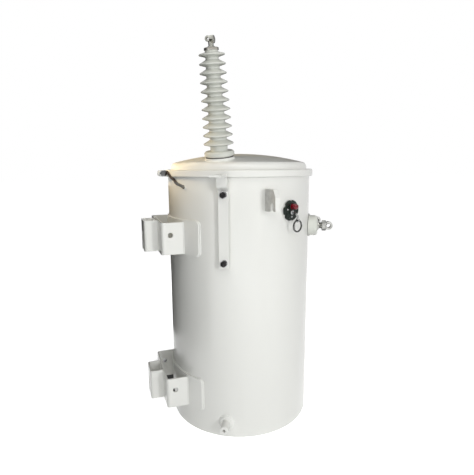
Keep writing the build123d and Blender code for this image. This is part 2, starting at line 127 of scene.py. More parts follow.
# ---------------------------------------------------------------- studio plan
WHITE = (1.0, 1.0, 1.0)
COOL = (0.90, 0.965, 1.0)
CREAM = (1.0, 0.985, 0.91)
AMBER = (1.0, 0.78, 0.46)
BLACK_CARD = (0.02, 0.02, 0.02)
GREY_CARD = (0.22, 0.22, 0.21)
WORLD_LIGHT = 0.03
# name, azimuth, height, distance, width, tall, power, aim height, tint, seen in reflections, spread
LAMPS = (
    ("key", -81.0, 0.72, 3.0, 0.35, 0.5, 9.5, 0.6, WHITE, False),
    ("key_high", -81.0, 1.35, 3.0, 0.4, 0.5, 18.0, 0.6, WHITE, False),
    ("front_high", -104.0, 1.75, 2.6, 0.5, 0.5, 9.0, 0.6, WHITE, False),
    ("top", -105.0, 2.70, 1.7, 1.6, 1.0, 11.0, 0.6, CREAM, True),
    ("left_high", -140.0, 2.5, 1.6, 0.8, 0.8, 4.0, 0.6, WHITE, False),
    ("left_level", -124.0, 0.80, 3.0, 0.5, 0.8, 8.5, 0.6, WHITE, False),
    ("right", -46.0, 0.9, 2.5, 0.8, 1.4, 5.0, 0.6, WHITE, False),
    ("right_high", -45.0, 2.4, 2.0, 0.8, 0.8, 4.0, 0.6, WHITE, False),
    ("low", -106.0, 0.25, 2.6, 1.2, 0.4, 5.8, 0.1, COOL, False),
    ("back", 80.0, 1.0, 2.4, 0.8, 1.2, 14.0, 0.6, WHITE, False),
    ("warm", 172.0, 1.24, 0.60, 0.25, 0.2, 0.60, 0.94, AMBER, False, 60.0),
)
# name, azimuth, distance, width, bottom, top, shade
CARDS = (
    ("flag_back_left", 120.0, 0.9, 1.4, 0.0, 0.88, BLACK_CARD),
    ("flag_left", 180.0, 0.95, 1.1, 0.0, 0.88, BLACK_CARD),
    ("flag_back", 70.0, 2.6, 1.9, 0.25, 2.8, GREY_CARD),
    ("flag_bushing_back", 125.0, 0.75, 0.8, 1.16, 1.60, BLACK_CARD),
    ("flag_bushing_left", 178.0, 0.80, 0.60, 1.10, 1.70, BLACK_CARD),
)
FLOOR_COLOUR = (0.80, 0.80, 0.79)
FLOOR_GLOW = 0.95
FLOOR_GLOW_FAR = 1.0
# The shadow on the floor isn't cast by the lamps. It is an oval drawn in the floor's own material.
SHADOW_AZIMUTH = 108.0
SHADOW_OUT = 0.20
SHADOW_LONG = 0.34
SHADOW_WIDE = 0.235
SHADOW_COLOUR = (0.06, 0.06, 0.06)
SHADOW_GLOW = 0.02

CAMERA_AZIMUTH = -108.94
CAMERA_DISTANCE = 1.63995
CAMERA_HEIGHT = 0.9863
CAMERA_HEADING = -18.677
CAMERA_DOWN = 9.8976
CAMERA_ROLL = -0.339
CAMERA_LENS = 31.047


# ---------------------------------------------------------------- frames
def polar(radius, azimuth, height=0.0):
    """Point at a radius from the Z axis, at an azimuth in degrees."""
    a = radians(azimuth)
    return Vector((radius * cos(a), radius * sin(a), height))


def frame_at(place, x_axis, y_axis, z_axis):
    """Matrix with these three axes at a place."""
    matrix = Matrix((x_axis, y_axis, z_axis)).transposed().to_4x4()
    matrix.translation = place
    return matrix


def wall_frame(azimuth, height, distance=0.0):
    """Matrix on the tank's side: local X runs round the tank, Y is up, Z points out."""
    out = polar(1.0, azimuth)
    round_tank = Vector((-out.y, out.x, 0))
    return frame_at(out * distance + Vector((0, 0, height)), round_tank, Vector((0, 0, 1)), out)


def hv_frame():
    """Matrix on the tall bushing's foot: Z runs up its leaning axis."""
    out, lean = polar(1.0, HV_AZIMUTH), radians(HV_LEAN)
    sideways = Vector((-out.y, out.x, 0))
    axis = out * sin(lean) + Vector((0, 0, cos(lean)))
    return frame_at(out * HV_REACH + Vector((0, 0, HV_FOOT_Z)), sideways, axis.cross(sideways), axis)


def bolt_frame(place):
    """Matrix along the clamp bolt: Z runs towards its head, which is the part's -Y."""
    return frame_at(place, Vector((0, 0, 1)), Vector((-1, 0, 0)), Vector((0, -1, 0)))


def heights(node):
    """Lowest and highest Z of a CAD node."""
    return [corner.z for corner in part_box(node)]


# ---------------------------------------------------------------- node graphs
class Graph:
    """One material's node tree, with short calls for the nodes that the finishes share."""

    def __init__(self, name):
        self.material = bpy.data.materials.new(name)
        self.material.use_nodes = True
        self.tree = self.material.node_tree
        self.shader = self.tree.nodes["Principled BSDF"]
        self.place = self.add("ShaderNodeTexCoord").outputs["Object"]

    def add(self, kind, **settings):
        """A new node with these settings."""
        node = self.tree.nodes.new(kind)
        for key, value in settings.items():
            setattr(node, key, value)
        return node

    def link(self, source, target):
        """Join one node's output to another's input."""
        self.tree.links.new(source, target)

    def noise(self, scale, detail=3.0, stretch=None):
        """Noise in the object's own metres. stretch squeezes it along the axes."""
        texture = self.add("ShaderNodeTexNoise")
        texture.inputs["Scale"].default_value = scale
        texture.inputs["Detail"].default_value = detail
        source = self.place
        if stretch:
            mapping = self.add("ShaderNodeMapping")
            mapping.inputs["Scale"].default_value = stretch
            self.link(source, mapping.inputs["Vector"])
            source = mapping.outputs["Vector"]
        self.link(source, texture.inputs["Vector"])
        return texture.outputs["Fac"]

    def span(self, value, low, high, to_low=0.0, to_high=1.0):
        """Map value from low..high to to_low..to_high, clamped."""
        node = self.add("ShaderNodeMapRange")
        self.link(value, node.inputs["Value"])
        for key, number in (("From Min", low), ("From Max", high), ("To Min", to_low), ("To Max", to_high)):
            node.inputs[key].default_value = number
        return node.outputs["Result"]

    def times(self, a, b):
        """Two outputs multiplied."""
        node = self.add("ShaderNodeMath", operation="MULTIPLY")
        self.link(a, node.inputs[0])
        self.link(b, node.inputs[1])
        return node.outputs["Value"]

    def length(self, vector):
        """Length of a vector output."""
        node = self.add("ShaderNodeVectorMath", operation="LENGTH")
        self.link(vector, node.inputs[0])
        return node.outputs["Value"]

    def mix(self, factor, first, second):
        """Mix two colours. Each is a colour or another node's output."""
        node = self.add("ShaderNodeMix", data_type="RGBA")
        self.link(factor, node.inputs["Factor"])
        for socket, value in ((node.inputs[6], first), (node.inputs[7], second)):
            if isinstance(value, tuple):
                socket.default_value = (*value, 1.0)
            else:
                self.link(value, socket)
        return node.outputs[2]

    def mottled(self, scale, low, high, first, second, detail=3.0):
        """Two colours mixed where noise goes from low to high."""
        return self.mix(self.span(self.noise(scale, detail), low, high), first, second)

    def uneven(self, scale, low, high, detail=3.0):
        """A value that wanders between low and high."""
        return self.span(self.noise(scale, detail), 0.3, 0.7, low, high)

    def normal(self, axis):
        """One part of the surface's direction: "X", "Y" or "Z"."""
        geometry = self.add("ShaderNodeNewGeometry")
        split = self.add("ShaderNodeSeparateXYZ")
        self.link(geometry.outputs["Normal"], split.inputs["Vector"])
        return split.outputs[axis]

    def upward(self):
        """1 where the surface faces up, 0 where it is upright or faces down."""
        return self.span(self.normal("Z"), 0.35, 0.95)

    def sideways(self):
        """1 where the surface faces along X, 0 where it is square to it."""
        size = self.add("ShaderNodeMath", operation="ABSOLUTE")
        self.link(self.normal("X"), size.inputs[0])
        return self.span(size.outputs["Value"], 0.6, 0.9)

    def rim(self):
        """1 where the surface turns away from sight, 0 where it faces it."""
        return self.add("ShaderNodeLayerWeight").outputs["Facing"]

    def bump(self, height, distance, strength=1.0, after=None):
        """Normal bent by a height, on top of another normal where one is given."""
        node = self.add("ShaderNodeBump")
        node.inputs["Strength"].default_value = strength
        node.inputs["Distance"].default_value = distance
        self.link(height, node.inputs["Height"])
        if after:
            self.link(after, node.inputs["Normal"])
        return node.outputs["Normal"]

    def finish(self, colour=None, roughness=None, normal=None, **constants):
        """Join the shader's inputs. Constants go straight onto its own sockets."""
        for key, source in (("Base Color", colour), ("Roughness", roughness), ("Normal", normal)):
            if isinstance(source, tuple):
                self.shader.inputs[key].default_value = (*source, 1.0)
            elif isinstance(source, float):
                self.shader.inputs[key].default_value = source
            elif source is not None:
                self.link(source, self.shader.inputs[key])
        for key, value in constants.items():
            self.shader.inputs[key.replace("_", " ")].default_value = value
        return self.material


# ---------------------------------------------------------------- finishes
def paint(name, side_shade=0.0):
    """Glossy light grey enamel on sheet metal: orange peel, slight plate waves, a little dust.
    The side shade is painted shade: a darker grey, in patches, on the surfaces that face along X,
    which are the broad sides of the lifting lugs."""
    g = Graph(name)
    colour = g.mottled(1.6, 0.35, 0.65, (0.785, 0.787, 0.757), (0.805, 0.808, 0.778), detail=2.0)
    dust = g.times(g.upward(), g.span(g.noise(30.0, detail=5.0), 0.40, 0.72, 0.0, 0.22))
    colour = g.mix(dust, colour, (0.52, 0.49, 0.43))
    streaks = g.span(g.noise(6.0, detail=3.0, stretch=(4.0, 4.0, 0.30)), 0.55, 0.85, 0.0, 0.05)
    colour = g.mix(streaks, colour, (0.60, 0.58, 0.53))
    # Painted shade: the surfaces facing along X are darkened in patches, standing in for the shade on the
    # lugs' broad sides.
    if side_shade > 0:
        shade_patches = g.span(g.noise(55.0, detail=4.0), 0.30, 0.70, 0.6 * side_shade, side_shade)
        colour = g.mix(g.times(g.sideways(), shade_patches), colour, (0.42, 0.41, 0.39))
    rough = g.uneven(7.0, 0.29, 0.35)
    waves = g.bump(g.noise(4.5, detail=1.0), 0.0014, 0.30)
    peel = g.bump(g.noise(520.0, detail=2.0), 0.00005, 0.4, after=waves)
    return g.finish(colour, rough, peel, Coat_Weight=0.5, Coat_Roughness=0.16, Coat_IOR=1.5)


def porcelain():
    """Light grey glazed porcelain: faint clouds under the glaze and a few dark firing specks."""
    g = Graph("grey_glazed_porcelain")
    colour = g.mottled(16.0, 0.3, 0.7, (0.61, 0.622, 0.578), (0.675, 0.685, 0.64), detail=4.0)
    specks = g.span(g.noise(620.0, detail=1.0), 0.74, 0.80, 0.0, 0.5)
    colour = g.mix(specks, colour, (0.22, 0.20, 0.16))
    ripple = g.bump(g.noise(90.0, detail=2.0), 0.00012, 0.4)
    return g.finish(colour, g.uneven(60.0, 0.08, 0.16), ripple, Specular_IOR_Level=0.35)


def metal(name, dull, bright, low, high):
    """Plated metal with fine scratches, uneven dulling and a rolled grain, and painted shade on the edges
    that turn away from sight.
    """
    g = Graph(name)
    colour = g.mottled(70.0, 0.3, 0.7, dull, bright, detail=5.0)
    # Painted shade: the colour darkens towards black where the surface turns away from sight, at rounded
    # edges and outlines.
    dark = tuple(0.08 * c for c in dull)
    colour = g.mix(g.span(g.rim(), 0.25, 0.70), colour, dark)
    rough = g.uneven(110.0, low, high, detail=5.0)
    scratches = g.bump(g.noise(260.0, detail=4.0, stretch=(1.0, 1.0, 6.0)), 0.00005, 0.4)
    return g.finish(colour, rough, scratches, Metallic=1.0)


def black_oxide():
    """Blackened steel, oily in places and rubbed a little paler."""
    g = Graph("black_oxide_steel")
    colour = g.mottled(240.0, 0.52, 0.72, (0.012, 0.012, 0.013), (0.085, 0.080, 0.075), detail=5.0)
    rough = g.uneven(160.0, 0.28, 0.5)
    return g.finish(colour, rough, g.bump(g.noise(700.0), 0.00005, 0.4), Metallic=0.7)


def rubber():
    """Black gasket rubber, dull and a little dusty."""
    g = Graph("black_gasket_rubber")
    colour = g.mottled(120.0, 0.4, 0.7, (0.018, 0.018, 0.018), (0.055, 0.052, 0.048), detail=5.0)
    return g.finish(colour, g.uneven(90.0, 0.55, 0.8), g.bump(g.noise(900.0), 0.00008, 0.5))


def green_moulding():
    """Dark green thermoset moulding, satin, with fine filler speckle."""
    g = Graph("dark_green_moulding")
    colour = g.mottled(500.0, 0.45, 0.75, (0.004, 0.009, 0.006), (0.012, 0.022, 0.017), detail=4.0)
    rough = g.uneven(80.0, 0.22, 0.40)
    return g.finish(colour, rough, g.bump(g.noise(800.0), 0.00006, 0.5), Specular_IOR_Level=0.3)


def red_lens():
    """Clear red moulding with a stippled inside."""
    g = Graph("red_signal_lens")
    colour = g.mottled(300.0, 0.4, 0.6, (0.22, 0.002, 0.012), (0.34, 0.005, 0.022))
    stipple = g.add("ShaderNodeTexVoronoi")
    stipple.inputs["Scale"].default_value = 420.0
    g.link(g.place, stipple.inputs["Vector"])
    normal = g.bump(stipple.outputs["Distance"], 0.0003, 0.35)
    return g.finish(colour, g.uneven(60.0, 0.04, 0.10), normal, Transmission_Weight=0.45, IOR=1.49)


def braid():
    """Weathered tinned-copper flat braid: crossed strands, brown in the gaps."""
    g = Graph("weathered_flat_braid")
    strands = []
    for turn in (38.0, -38.0):
        mapping = g.add("ShaderNodeMapping")
        mapping.inputs["Rotation"].default_value = (0.0, 0.0, radians(27.0))
        wave = g.add("ShaderNodeTexWave", bands_direction="Z", wave_profile="SIN")
        tilt = g.add("ShaderNodeMapping")
        tilt.inputs["Rotation"].default_value = (0.0, radians(turn), 0.0)
        g.link(g.place, mapping.inputs["Vector"])
        g.link(mapping.outputs["Vector"], tilt.inputs["Vector"])
        g.link(tilt.outputs["Vector"], wave.inputs["Vector"])
        wave.inputs["Scale"].default_value = 190.0
        wave.inputs["Distortion"].default_value = 0.6
        strands.append(wave.outputs["Fac"])
    weave = g.times(*strands)
    colour = g.mix(g.span(weave, 0.05, 0.6), (0.045, 0.030, 0.020), (0.36, 0.30, 0.25))
    return g.finish(colour, g.uneven(200.0, 0.42, 0.62), g.bump(weave, 0.0006, 0.9), Metallic=0.6)


def plain_inside(name, dark, light):
    """Mottled finish for what is sealed inside the tank."""
    g = Graph(name)
    colour = g.mottled(45.0, 0.3, 0.7, dark, light, detail=4.0)
    return g.finish(colour, g.uneven(30.0, 0.35, 0.6), g.bump(g.noise(300.0), 0.0001, 0.4))


PAINT = paint("light_grey_enamel")
# The same enamel with painted shade on the surfaces facing along X, for the lifting lugs.
SIDE_SHADED_PAINT = paint("side_shaded_grey_enamel", side_shade=0.95)
PORCELAIN = porcelain()
TINNED = metal("tinned_copper", (0.36, 0.34, 0.30), (0.58, 0.56, 0.51), 0.24, 0.42)
BRONZE = metal("weathered_terminal_bronze", (0.26, 0.26, 0.23), (0.74, 0.74, 0.68), 0.12, 0.24)
BRIGHT = metal("bright_tinned_bronze", (0.32, 0.32, 0.30), (0.74, 0.74, 0.71), 0.14, 0.26)
ZINC = metal("zinc_plated_steel", (0.40, 0.41, 0.42), (0.66, 0.66, 0.66), 0.18, 0.34)
STEEL = metal("dark_forged_steel", (0.04, 0.04, 0.04), (0.17, 0.17, 0.17), 0.14, 0.26)
BLACK = black_oxide()
RUBBER = rubber()
GREEN = green_moulding()
LENS = red_lens()
BRAID = braid()
SLOT_FINISH = {
    "tank_paint": PAINT, "porcelain": PORCELAIN, "gasket": RUBBER, "tinned_terminal": TINNED,
    "zinc_hardware": STEEL, "breaker_green": GREEN, "red_lens": LENS, "strap_braid": BRAID,
    "core_steel": plain_inside("annealed_core_strip", (0.10, 0.11, 0.12), (0.19, 0.20, 0.22)),
    "winding_paper": plain_inside("kraft_paper_winding", (0.38, 0.27, 0.14), (0.52, 0.39, 0.22)),
    "mineral_oil": plain_inside("amber_transformer_oil", (0.50, 0.34, 0.08), (0.62, 0.45, 0.13)),
}


def dress_nodes():
    """Each CAD node gets the finish of its record slot."""
    for part in frame["record"]["subparts"]:
        node = NODES[part["node"]]
        node.data.materials.clear()
        finish = SLOT_FINISH[part["material_slot"]]
        # The lifting lugs take the enamel with painted shade on their broad sides.
        if part["node"].startswith("lifting_lug"):
            finish = SIDE_SHADED_PAINT
        node.data.materials.append(finish)


# ---------------------------------------------------------------- mesh helpers
def mesh_object(name, bm):
    """An object in the scene, made from a bmesh."""
    mesh = bpy.data.meshes.new(name)
    bm.to_mesh(mesh)
    bm.free()
    obj = bpy.data.objects.new(name, mesh)
    bpy.context.scene.collection.objects.link(obj)
    return obj


def piece(name, bm, material, body=BODY, smooth_angle=35.0):
    """A finished piece from a bmesh, which rides on a body and takes a finish."""
    bmesh.ops.recalc_face_normals(bm, faces=bm.faces)
    obj = mesh_object(name, bm)
    obj.data.materials.append(material)
    obj.data.shade_smooth()
    obj.data.set_sharp_from_angle(angle=radians(smooth_angle))
    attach(obj, body)
    return obj


def skin(bm, rings, closed=False):
    """Faces between neighbouring rings of vertices, each ring closed on itself. A closed run joins
    its last ring to its first, and an open one has a face over each end."""
    pairs = list(zip(rings, rings[1:]))
    if closed:
        pairs.append((rings[-1], rings[0]))
    for first, second in pairs:
        count = len(first)
        for i in range(count):
            j = (i + 1) % count
            bm.faces.new((first[i], first[j], second[j], second[i]))
    if not closed:
        bm.faces.new(rings[0])
        bm.faces.new(rings[-1])


def turned_vert(bm, matrix, radius, angle, height):
    """New vertex at a radius and an angle about local Z."""
    return bm.verts.new(matrix @ Vector((radius * cos(angle), radius * sin(angle), height)))


def add_turned(bm, outline, matrix, segments=64, shape=None):
    """Turn (radius, height) points about local Z. shape(angle, radius, height) may bend the
    radius, which makes flats, threads and flutes. Both ends are closed with a face."""
    rings = []
    for radius, height in outline:
        ring = []
        for i in range(segments):
            angle = 2 * pi * i / segments
            r = shape(angle, radius, height) if shape else radius
            ring.append(turned_vert(bm, matrix, r, angle, height))
        rings.append(ring)
    skin(bm, rings)


def add_band(bm, outline, matrix, segments=64):
    """Turn a closed outline of (radius, height) points about local Z: a ring with a hole."""
    rings = []
    for i in range(segments):
        angle = 2 * pi * i / segments
        rings.append([turned_vert(bm, matrix, r, angle, z) for r, z in outline])
    skin(bm, rings, closed=True)


def flat_ring(inner, outer, low, high, bevel):
    """Outline of a flat ring with broken edges, for add_band."""
    return [(inner + bevel, low), (outer - bevel, low), (outer, low + bevel), (outer, high - bevel),
            (outer - bevel, high), (inner + bevel, high), (inner, high - bevel), (inner, low + bevel)]


def round_wire(ring_r, wire_r, sides=16):
    """Outline of a ring bent from round wire, for add_band."""
    angles = [2 * pi * i / sides for i in range(sides)]
    return [(ring_r + wire_r * cos(a), wire_r * sin(a)) for a in angles]


def hex_radius(angle, flats):
    """Distance from a hexagon's middle to its edge at an angle."""
    return flats / 2 / cos((angle + pi / 6) % (pi / 3) - pi / 6)


def add_hex(bm, matrix, flats, start, end, chamfer_start=False):
    """Bolt head or nut: a hexagon whose corners are turned off at 30 degrees at its free end, or
    at both ends."""
    segments, inner = 72, flats / 2 * 0.96
    angles = [2 * pi * i / segments for i in range(segments)]
    levels = [(start, 1 if chamfer_start else 0), (end, -1)]
    outline = [[(inner, start)] * segments] if chamfer_start else []
    for z, direction in levels:
        ring = []
        for angle in angles:
            r = hex_radius(angle, flats)
            ring.append((r, z + direction * max(0.0, r - inner) * tan(radians(30))))
        outline.append(ring)
    outline.append([(inner, end)] * segments)
    rings = []
    for ring in outline:
        rings.append([turned_vert(bm, matrix, r, angle, z) for angle, (r, z) in zip(angles, ring)])
    skin(bm, rings)


def add_thread(bm, matrix, radius, start, end, pitch, depth):
    """Threaded rod: a true helix cut into the radius."""
    steps = max(2, ceil((end - start) / pitch * 6))
    outline = [(radius, start + (end - start) * i / steps) for i in range(steps + 1)]

    def cut(angle, r, z):
        turn = (z / pitch - angle / (2 * pi)) % 1.0
        return r - depth * abs(2 * turn - 1)

    add_turned(bm, outline, matrix, segments=24, shape=cut)


def started_at(ring, vert):
    """The same ring of vertices, started from the one that is nearest to a vertex."""
    shift = min(range(len(ring)), key=lambda k: (ring[k].co - vert.co).length)
    return ring[shift:] + ring[:shift]


def add_tube(bm, points, radius, closed=False, sides=8, swell=None):
    """Round tube along points. swell(length along it) scales its radius."""
    count = len(points)
    rings, run = [], 0.0
    normal = None
    for i, point in enumerate(points):
        ahead = points[(i + 1) % count] if closed or i + 1 < count else point
        behind = points[i - 1] if closed or i > 0 else point
        along = (ahead - behind).normalized()
        if normal is None:
            normal = along.orthogonal().normalized()
        normal = (normal - along * normal.dot(along)).normalized()
        side = along.cross(normal)
        if i:
            run += (point - points[i - 1]).length
        r = radius * (swell(run) if swell else 1.0)
        ring = []
        for k in range(sides):
            angle = 2 * pi * k / sides
            ring.append(bm.verts.new(point + (normal * cos(angle) + side * sin(angle)) * r))
        rings.append(ring)
    if closed:
        # The rings turn a little on their way round, so each one is matched to the next.
        for j in range(count - 1, 0, -1):
            rings[j] = started_at(rings[j], rings[(j + 1) % count][0])
    skin(bm, rings, closed)


def add_ribbon(bm, points, faces, half_wide, half_thick, bevel):
    """Flat strip along points. faces are the directions that its broad side looks in."""
    w, t, b = half_wide, half_thick, bevel
    section = [(w - b, -t), (w, -t + b), (w, t - b), (w - b, t),
               (-w + b, t), (-w, t - b), (-w, -t + b), (-w + b, -t)]
    rings = []
    for i, (point, face) in enumerate(zip(points, faces)):
        along = (points[min(i + 1, len(points) - 1)] - points[max(i - 1, 0)]).normalized()
        side = along.cross(face).normalized()
        out = side.cross(along)
        rings.append([bm.verts.new(point + side * x + out * y) for x, y in section])
    skin(bm, rings)


def rounded(points, radius, count=8):
    """The same open path with its corners rounded."""
    result = [points[0]]
    for before, corner, after in zip(points, points[1:], points[2:]):
        start = corner + (before - corner).normalized() * radius
        end = corner + (after - corner).normalized() * radius
        for i in range(count + 1):
            t = i / count
            result.append(start * (1 - t) ** 2 + corner * (2 * t * (1 - t)) + end * t ** 2)
    return result + [points[-1]]


def resample(points, step, closed=False):
    """The same path with points about one step apart."""
    path = list(points) + ([points[0]] if closed else [])
    lengths = [0.0]
    for a, b in zip(path, path[1:]):
        lengths.append(lengths[-1] + (b - a).length)
    count = max(8, round(lengths[-1] / step))
    result, k = [], 0
    for i in range(count if closed else count + 1):
        target = lengths[-1] * i / count
        while k < len(path) - 2 and lengths[k + 1] < target:
            k += 1
        share = (target - lengths[k]) / max(1e-9, lengths[k + 1] - lengths[k])
        result.append(path[k].lerp(path[k + 1], share))
    return result


def weld(name, points, closed=True, radius=BEAD_R):
    """Painted weld bead along a joint, with the ripples that its passes leave."""
    bm = bmesh.new()
    path = resample(points, BEAD_PITCH / 4, closed)

    def ripple(run):
        wobble = noise.noise(Vector((run * 90.0, radius * 4000.0, 0.0)))
        return 1.0 + 0.10 * sin(2 * pi * run / BEAD_PITCH) + 0.16 * wobble

    add_tube(bm, path, radius, closed=closed, sides=8, swell=ripple)
    return piece(name, bm, PAINT, smooth_angle=80.0)


# ---------------------------------------------------------------- weld paths
def on_tank(sideways, azimuth, z):
    """Point on the tank at a distance sideways (along the wall) from an azimuth."""
    a = radians(azimuth) + sideways / TANK_R
    return Vector((TANK_R * cos(a), TANK_R * sin(a), z))


def circle_on_tank(azimuth, height, radius, count=72):
    """Where a round fitting of this radius meets the tank's wall."""
    matrix = wall_frame(azimuth, height)
    points = []
    for i in range(count):
        x, y = radius * cos(2 * pi * i / count), radius * sin(2 * pi * i / count)
        points.append(matrix @ Vector((x, y, sqrt(TANK_R ** 2 - x ** 2))))
    return points


def rounded_rectangle(half_wide, low, high, corner, count=6):
    """Corner-rounded (x, z) outline round a rectangle."""
    middle = [(half_wide - corner, low + corner, -90), (half_wide - corner, high - corner, 0),
              (-half_wide + corner, high - corner, 90), (-half_wide + corner, low + corner, 180)]
    points = []
    for x, z, start in middle:
        for i in range(count + 1):
            angle = radians(start + 90 * i / count)
            points.append((x + corner * cos(angle), z + corner * sin(angle)))
    return points


def circle_on_dome(radius, count=96):
    """Where the tall bushing's boss meets the domed cover."""
    foot = hv_frame()
    axis = foot.to_3x3().col[2]
    centre = Vector((0, 0, DOME_TOP - DOME_R))
    points = []
    for i in range(count):
        angle = 2 * pi * i / count
        start = foot @ Vector((radius * cos(angle), radius * sin(angle), 0)) - centre
        along = start.dot(axis)
        reach = -along + sqrt(along ** 2 - start.length_squared + DOME_R ** 2)
        points.append(centre + start + axis * reach)
    return points


def bracket_welds(name):
    """Pad to tank, arms to pad and nose to channel."""
    low, high = heights(name + "_pad")
    half = (TANK_R + PAD_T / 2) * sin(radians(PAD_HALF_ANGLE))
    seam_r = TANK_R + 0.001
    path = []
    for y, z in rounded_rectangle(half, low, high, PAD_CORNER):
        path.append(Vector((-sqrt(seam_r ** 2 - y * y), y, z)))
    weld(name + "_pad_weld", path)

    low, high = heights(name + "_channel")
    pad_r, arm_inside = TANK_R + PAD_T, CHANNEL_HALF - ARM_T
    seams = (
        ("arm", CHANNEL_HALF, -sqrt(pad_r ** 2 - CHANNEL_HALF * CHANNEL_HALF), BEAD_R),
        ("inner_arm", arm_inside, -sqrt(pad_r ** 2 - arm_inside * arm_inside), 0.0032),
        ("nose", NOSE_HALF, -CHANNEL_FACE - 0.0005, 0.0022),
    )
    for side, label in ((-1, "front"), (1, "back")):
        for seam, y, x, radius in seams:
            ends = [Vector((x, side * y, z)) for z in (low + BEAD_INSET, high - BEAD_INSET)]
            weld(f"{name}_{seam}_weld_{label}", ends, closed=False, radius=radius)


def fitting_welds():
    """Lifting lugs, bosses and the breaker's base to the tank, and the tall bushing's boss to the
    cover."""
    for name, azimuth in zip(("front", "back"), LIFT_AZIMUTHS):
        low, high = heights(f"lifting_lug_{name}")
        outline = rounded_rectangle(LIFT_HALF, low, high, 0.002, count=3)
        weld(f"lifting_lug_{name}_weld", [on_tank(s, azimuth, z) for s, z in outline], radius=0.0034)
    weld("ground_boss_weld", circle_on_tank(BAR_AZIMUTH, GROUND_BOSS_Z, GROUND_COLLAR_R), radius=0.0030)
    weld("breaker_base_weld", circle_on_tank(BREAKER_AZIMUTH, BREAKER_Z, BREAKER_BASE_R), radius=0.0026)
    for label, z in zip(("lower", "upper"), BAR_BOLTS_Z):
        weld(f"arrester_boss_{label}_weld", circle_on_tank(BAR_AZIMUTH, z, BAR_BOSS_R, 48), radius=0.0024)
    weld("hv_boss_weld", circle_on_dome(HV_BOSS_R), radius=0.0030)


# ---------------------------------------------------------------- fasteners
def bolt_set(name, matrix, flats, head, washer_r, shank_r):
    """Black hexagon bolt on a bright flat washer and a spring washer."""
    flat_t, spring_t, edge = 0.0022, 0.0026, 0.0004
    bm = bmesh.new()
    add_turned(bm, [(washer_r - edge, 0), (washer_r, edge), (washer_r, flat_t - edge),
                    (washer_r - edge, flat_t), (shank_r, flat_t)], matrix, 48)
    piece(name + "_washer", bm, ZINC)

    spring_r, split_angle, split_depth = flats / 2 * 0.97, 0.12, 0.002
    bm = bmesh.new()
    add_turned(bm, [(spring_r, flat_t), (spring_r, flat_t + spring_t)], matrix, 48,
               shape=lambda angle, r, z: r if angle > split_angle else r - split_depth)
    piece(name + "_spring_washer", bm, BLACK)

    bm = bmesh.new()
    add_hex(bm, matrix, flats, flat_t + spring_t, flat_t + spring_t + head)
    piece(name + "_bolt", bm, BLACK)


def fasteners():
    """The arrester bar's two bolts, and the small bolt at the ground strap's lower end."""
    for label, z in zip(("lower", "upper"), BAR_BOLTS_Z):
        face = wall_frame(BAR_AZIMUTH, z, BAR_FACE)
        bolt_set(f"arrester_{label}", face, flats=0.019, head=0.0080, washer_r=0.0130, shank_r=0.006)
    bm = bmesh.new()
    face = wall_frame(STRAP_END_AZIMUTH, STRAP_END_Z, STRAP_FACE - 0.0004)
    add_hex(bm, face, flats=0.0080, start=0.0, end=0.0036)
    piece("strap_end_bolt", bm, TINNED)


def clamp_bolt():
    """Closing bolt of the cover's ring: turned hexagons and a real thread."""
    low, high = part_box("clamp_bolt")
    middle = (low + high) / 2
    matrix = bolt_frame(Vector((middle.x, 0, middle.z)))
    flats = min(high.z - low.z, high.x - low.x)
    head_end, thread_end = -low.y, -high.y
    bm = bmesh.new()
    add_thread(bm, matrix, CLAMP_BOLT_R, thread_end, head_end - CLAMP_NUT_T, pitch=0.00175, depth=0.0008)
    add_hex(bm, matrix, flats, head_end - CLAMP_NUT_T, head_end)
    add_hex(bm, matrix, flats, -CLAMP_EAR_Y - CLAMP_NUT_T, -CLAMP_EAR_Y, chamfer_start=True)
    bolt = piece("clamp_bolt_threaded", bm, STEEL)
    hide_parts("clamp_bolt")


# ---------------------------------------------------------------- terminals
def eye_frame(matrix, place, axis):
    """Matrix for an eye or a nut whose own axis lies across the fitting that carries it."""
    return matrix @ Matrix.Translation(place) @ Matrix.Rotation(pi / 2, 4, axis)


def hv_terminal():
    """Eye terminal on the tall bushing: a turned stem, its clamping nut and the eye beside it."""
    foot = hv_frame()
    collar_r, neck_r, stem_r = 0.0128, 0.0092, 0.0087
    bm = bmesh.new()
    add_turned(bm, [
        (collar_r, HV_CAP_TOP), (collar_r, HV_CAP_TOP + 0.0022), (0.0120, HV_CAP_TOP + 0.0030),
        (neck_r, HV_CAP_TOP + 0.0034), (stem_r, HV_CAP_TOP + 0.0046), (stem_r, HV_EYE_Z - 0.006)], foot, 48)
    across = eye_frame(foot, (0, 0, HV_EYE_Z), "Y")
    add_hex(bm, across, flats=0.0230, start=-0.0010, end=0.0118, chamfer_start=True)
    add_thread(bm, across, radius=0.0060, start=0.0110, end=0.0135, pitch=0.0014, depth=0.0006)
    eye = eye_frame(foot, (-HV_EYE_OFF, 0, HV_EYE_Z + HV_EYE_RISE), "X")
    add_band(bm, flat_ring(HV_EYE_HOLE_R, HV_EYE_R, -HV_EYE_HALF, HV_EYE_HALF, bevel=0.0013), eye)
    terminal = piece("hv_terminal_detailed", bm, BRONZE)
    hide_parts("hv_terminal")


